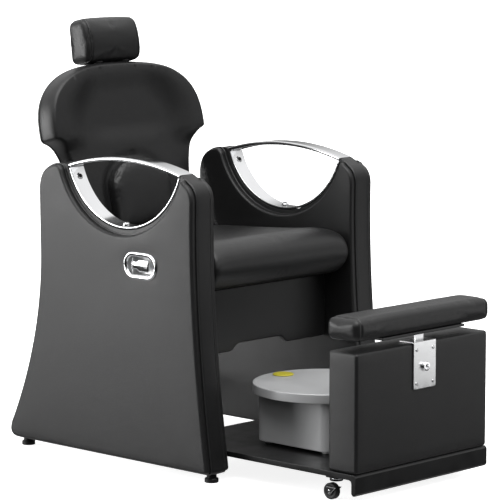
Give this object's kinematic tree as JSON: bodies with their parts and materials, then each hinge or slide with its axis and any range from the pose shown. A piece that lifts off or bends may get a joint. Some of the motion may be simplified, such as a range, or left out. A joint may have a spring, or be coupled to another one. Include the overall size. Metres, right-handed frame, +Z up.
{
  "type": "reclining salon chair with pull-out foot basin",
  "caption": "Reclining upholstered salon chair with chrome armrests, headrest, and a castered pull-out tray holding a lidded foot basin and padded footrest block.",
  "frame": {"origin": "middle of the object's box at floor level, with the tray pulled out and the back upright", "axes": "+Z up, the sitter faces -Y, +X is the sitter's left"},
  "size_m": [0.7, 1.2108, 1.1517],
  "materials": {
    "upholstery": "fine-grained black leatherette, satin",
    "chrome": "polished",
    "brushed_steel": "brushed",
    "satin_steel": "satin",
    "black_steel": "black powder coat",
    "basin_grey": "satin silver grey",
    "cap_yellow": "satin yellow",
    "black_plastic": "moulded",
    "caster_tyre": "matte",
    "board": "plywood",
    "tray_board": "black laminate, satin"
  },
  "bodies": {
    "frame": {"side_core_right": "upholstery", "side_core_left": "upholstery", "outer_pad_right": "upholstery", "outer_pad_left": "upholstery", "inner_pad_right": "upholstery", "inner_pad_left": "upholstery", "notch_band_right": "chrome", "notch_band_left": "chrome", "arm_rail_right": "chrome", "arm_rail_left": "chrome", "front_foot_right": "black_plastic", "front_foot_left": "black_plastic", "rear_foot_right": "black_plastic", "rear_foot_left": "black_plastic", "recline_bearing_right": "black_steel", "recline_bearing_left": "black_steel", "handle_bezel": "chrome", "handle_cup": "satin_steel", "paddle_pin": "satin_steel", "seat_cushion": "upholstery", "seat_board": "board", "front_apron": "upholstery", "front_cross_tube": "black_steel", "middle_cross_tube": "black_steel", "rear_cross_tube": "black_steel", "lower_cross_tube": "black_steel", "gas_spring_rod": "satin_steel", "release_head": "black_plastic", "release_cable": "black_plastic"},
    "backrest": {"backrest_frame": "black_steel", "backrest_cushion": "upholstery", "backrest_shell": "upholstery", "lumbar_cushion": "upholstery", "headrest_sleeve_right": "black_plastic", "headrest_sleeve_left": "black_plastic"},
    "headrest": {"headrest_cushion": "upholstery", "headrest_post_right": "satin_steel", "headrest_post_left": "satin_steel"},
    "gas_spring": {"gas_spring_tube": "black_steel"},
    "release_paddle": {"handle_paddle": "chrome"},
    "tray": {"tray_platform": "tray_board", "footrest_block": "upholstery", "bracket_plate": "brushed_steel", "basin_tub": "basin_grey", "caster_plate_right": "chrome", "caster_plate_left": "chrome", "rear_fork_right": "chrome", "rear_fork_left": "chrome"},
    "footrest_bar": {"bar_cushion": "upholstery", "bar_post": "brushed_steel"},
    "bar_clamp": {"clamp_bolt": "chrome"},
    "lid": {"basin_lid": "basin_grey", "lid_cap": "cap_yellow"},
    "front_caster_right": {"caster_fork_right": "chrome"},
    "front_roller_right": {"front_wheel_right": "caster_tyre"},
    "rear_roller_right": {"rear_wheel_right": "caster_tyre"},
    "front_caster_left": {"caster_fork_left": "chrome"},
    "front_roller_left": {"front_wheel_left": "caster_tyre"},
    "rear_roller_left": {"rear_wheel_left": "caster_tyre"}
  },
  "joints": [
    {"name": "backrest_recline", "type": "hinge", "parent": "frame", "child": "backrest", "pos_m": [0, 0.41595, 0.545], "axis": [-1, 0, 0], "range_deg": [0, 45]},
    {"name": "gas_spring_stroke", "type": "slide", "parent": "frame", "child": "gas_spring", "axis": [0, -1, 0], "range_m": [0, 0.0614]},
    {"name": "headrest_height", "type": "slide", "parent": "backrest", "child": "headrest", "axis": [0, 0.225, 0.9744], "range_m": [0, 0.07]},
    {"name": "release_paddle_pull", "type": "hinge", "parent": "frame", "child": "release_paddle", "pos_m": [-0.34, 0.10395, 0.543], "axis": [0, 0, -1], "range_deg": [0, 25], "stiffness_Nm_per_rad": 0.5, "springref_deg": -5.73},
    {"name": "tray_slide", "type": "slide", "parent": "frame", "child": "tray", "axis": [0, 1, 0], "range_m": [0, 0.35]},
    {"name": "footrest_bar_height", "type": "slide", "parent": "tray", "child": "footrest_bar", "axis": [0, 0, 1], "range_m": [-0.018, 0.06]},
    {"name": "bar_clamp_turn", "type": "hinge", "parent": "tray", "child": "bar_clamp", "pos_m": [0, -0.59405, 0.318], "axis": [0, 1, 0], "continuous": true},
    {"name": "lid_lift", "type": "slide", "parent": "tray", "child": "lid", "axis": [0, 0, 1], "range_m": [0, 0.06]},
    {"name": "front_caster_swivel_right", "type": "hinge", "parent": "tray", "child": "front_caster_right", "pos_m": [-0.239, -0.51405, 0.04], "axis": [0, 0, 1], "continuous": true},
    {"name": "front_wheel_roll_right", "type": "hinge", "parent": "front_caster_right", "child": "front_roller_right", "pos_m": [-0.239, -0.49905, 0.021], "axis": [1, 0, 0], "continuous": true},
    {"name": "rear_wheel_roll_right", "type": "hinge", "parent": "tray", "child": "rear_roller_right", "pos_m": [-0.239, 0.04595, 0.021], "axis": [1, 0, 0], "continuous": true},
    {"name": "front_caster_swivel_left", "type": "hinge", "parent": "tray", "child": "front_caster_left", "pos_m": [0.239, -0.51405, 0.04], "axis": [0, 0, 1], "continuous": true},
    {"name": "front_wheel_roll_left", "type": "hinge", "parent": "front_caster_left", "child": "front_roller_left", "pos_m": [0.239, -0.49905, 0.021], "axis": [1, 0, 0], "continuous": true},
    {"name": "rear_wheel_roll_left", "type": "hinge", "parent": "tray", "child": "rear_roller_left", "pos_m": [0.239, 0.04595, 0.021], "axis": [1, 0, 0], "continuous": true}
  ],
  "couplings": [
    {"joint": "gas_spring_stroke", "follows": "backrest_recline", "m_per_rad": 0.0779}
  ]
}
